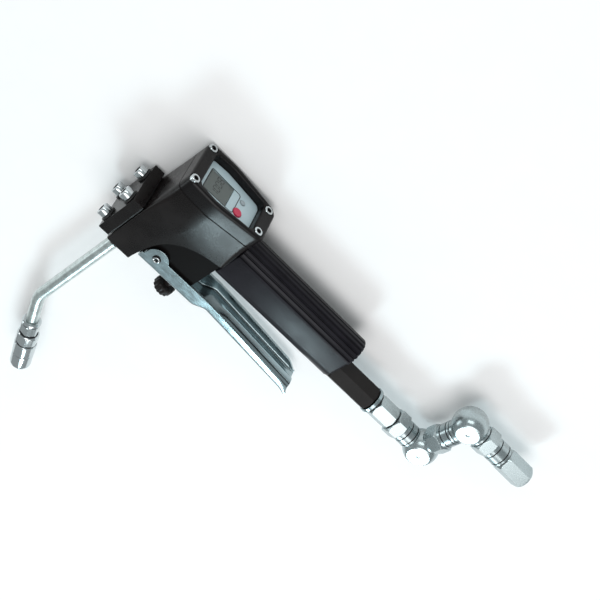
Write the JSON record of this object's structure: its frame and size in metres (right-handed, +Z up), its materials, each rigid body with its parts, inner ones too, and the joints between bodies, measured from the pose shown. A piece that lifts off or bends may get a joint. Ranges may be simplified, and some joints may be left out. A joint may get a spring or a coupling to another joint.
{
  "type": "metered grease control gun",
  "caption": "Handheld metered grease control gun with display, squeeze lever, bent outlet tube with nipple coupler, ribbed grip and double hose swivel.",
  "frame": {"origin": "centre of the bounding box on the ground, with the tool lying on its side", "axes": "+X along the grip towards the hose, +Y towards the display end (nozzle points along -Y), +Z up across the tool"},
  "size_m": [0.3694, 0.309, 0.047],
  "materials": {
    "black_casting": "satin black powder coat",
    "black_plastic": "fine black moulding grain",
    "grip_plastic": "charcoal, slightly soft",
    "zinc": "zinc plated, fine grain",
    "nickel": "bright nickel plate",
    "steel": "turned",
    "blackened_steel": "black oxide",
    "faceplate": "pale membrane",
    "lcd_glass": "grey liquid crystal window",
    "red": "soft gloss",
    "grey": "soft gloss",
    "circuit_green": "solder mask",
    "battery": "shrink sleeve",
    "rubber": "matte black",
    "brass": "turned brass"
  },
  "bodies": {
    "gun_body": {"battery": "battery", "bezel": "black_plastic", "bezel_screw_1": "nickel", "bezel_screw_2": "nickel", "bezel_screw_3": "nickel", "bezel_screw_4": "nickel", "chamber_cover": "black_casting", "chamber_gasket": "rubber", "circuit_board": "circuit_green", "coupler_adapter": "nickel", "coupler_body": "nickel", "coupler_sleeve": "nickel", "coupler_spring": "steel", "cover_bolt_1": "nickel", "cover_bolt_2": "nickel", "cover_bolt_3": "nickel", "cover_bolt_4": "nickel", "cover_washer_1": "rubber", "cover_washer_2": "rubber", "cover_washer_3": "rubber", "cover_washer_4": "rubber", "faceplate": "faceplate", "gear_shaft_1": "steel", "gear_shaft_2": "steel", "grip": "grip_plastic", "inlet_adapter": "blackened_steel", "inlet_collar": "zinc", "inlet_gasket": "rubber", "inlet_pipe": "steel", "lcd_panel": "lcd_glass", "meter_housing": "black_casting", "outlet_adapter": "steel", "outlet_nut": "blackened_steel", "outlet_tube": "zinc", "pivot_clip": "steel", "pivot_screw": "nickel", "plunger_seal": "rubber", "swivel_case_1": "nickel", "swivel_nut": "nickel", "valve_body": "black_casting", "valve_seat": "brass", "valve_spring": "steel"},
    "trigger": {"trigger_lever": "zinc", "thumbscrew_locknut": "zinc"},
    "thumbscrew": {"thumbscrew": "blackened_steel"},
    "plunger": {"valve_plunger": "steel"},
    "gear_1": {"oval_gear_1": "steel"},
    "gear_2": {"oval_gear_2": "steel"},
    "red_button": {"red_button": "red"},
    "grey_button": {"grey_button": "grey"},
    "coupler_jaws": {"coupler_jaw_1": "steel", "coupler_jaw_2": "steel", "coupler_jaw_3": "steel", "coupler_jaw_4": "steel", "coupler_seal": "rubber"},
    "swivel_arm": {"swivel_elbow_1": "nickel", "swivel_case_2": "nickel"},
    "swivel_ball": {"swivel_elbow_2": "nickel"},
    "hose_end": {"swivel_case_3": "nickel", "hose_nut": "nickel"}
  },
  "joints": [
    {"name": "trigger_pivot", "type": "hinge", "parent": "gun_body", "child": "trigger", "pos_m": [-0.1303, 0.05619, 0.02352], "axis": [0, 0, 1], "range_deg": [0, 12], "stiffness_Nm_per_rad": 2, "springref_deg": -2.86},
    {"name": "plunger_slide", "type": "slide", "parent": "gun_body", "child": "plunger", "axis": [0, 1, 0], "range_m": [0, 0.00505], "deforming": ["valve_spring"]},
    {"name": "thumbscrew_turn", "type": "hinge", "parent": "trigger", "child": "thumbscrew", "pos_m": [-0.1063, 0.03389, 0.02352], "axis": [0, 1, 0], "continuous": true},
    {"name": "oval_gear_1_spin", "type": "hinge", "parent": "gun_body", "child": "gear_1", "pos_m": [-0.1633, 0.06989, 0.03002], "axis": [1, 0, 0], "continuous": true},
    {"name": "oval_gear_2_spin", "type": "hinge", "parent": "gun_body", "child": "gear_2", "pos_m": [-0.1633, 0.06989, 0.01702], "axis": [1, 0, 0], "continuous": true},
    {"name": "red_button_press", "type": "slide", "parent": "gun_body", "child": "red_button", "axis": [0, -1, 0], "range_m": [0, 0.0008], "stiffness_N_per_m": 400},
    {"name": "grey_button_press", "type": "slide", "parent": "gun_body", "child": "grey_button", "axis": [0, -1, 0], "range_m": [0, 0.0008], "stiffness_N_per_m": 400},
    {"name": "coupler_jaws_slide", "type": "slide", "parent": "gun_body", "child": "coupler_jaws", "axis": [-0.4195, 0.9078, 0], "range_m": [0, 0.0015], "stiffness_N_per_m": 900, "deforming": ["coupler_spring"]},
    {"name": "swivel_1_turn", "type": "hinge", "parent": "gun_body", "child": "swivel_arm", "pos_m": [0.12, 0.08989, 0.02352], "axis": [1, 0, 0], "continuous": true},
    {"name": "swivel_2_turn", "type": "hinge", "parent": "swivel_arm", "child": "swivel_ball", "pos_m": [0.12, 0.13989, 0.02352], "axis": [0, 1, 0], "continuous": true},
    {"name": "swivel_3_turn", "type": "hinge", "parent": "swivel_ball", "child": "hose_end", "pos_m": [0.1337, 0.13989, 0.02352], "axis": [1, 0, 0], "continuous": true}
  ],
  "couplings": [
    {"joint": "plunger_slide", "follows": "trigger_pivot", "m_per_rad": 0.024},
    {"joint": "oval_gear_2_spin", "follows": "oval_gear_1_spin", "ratio": -1}
  ]
}
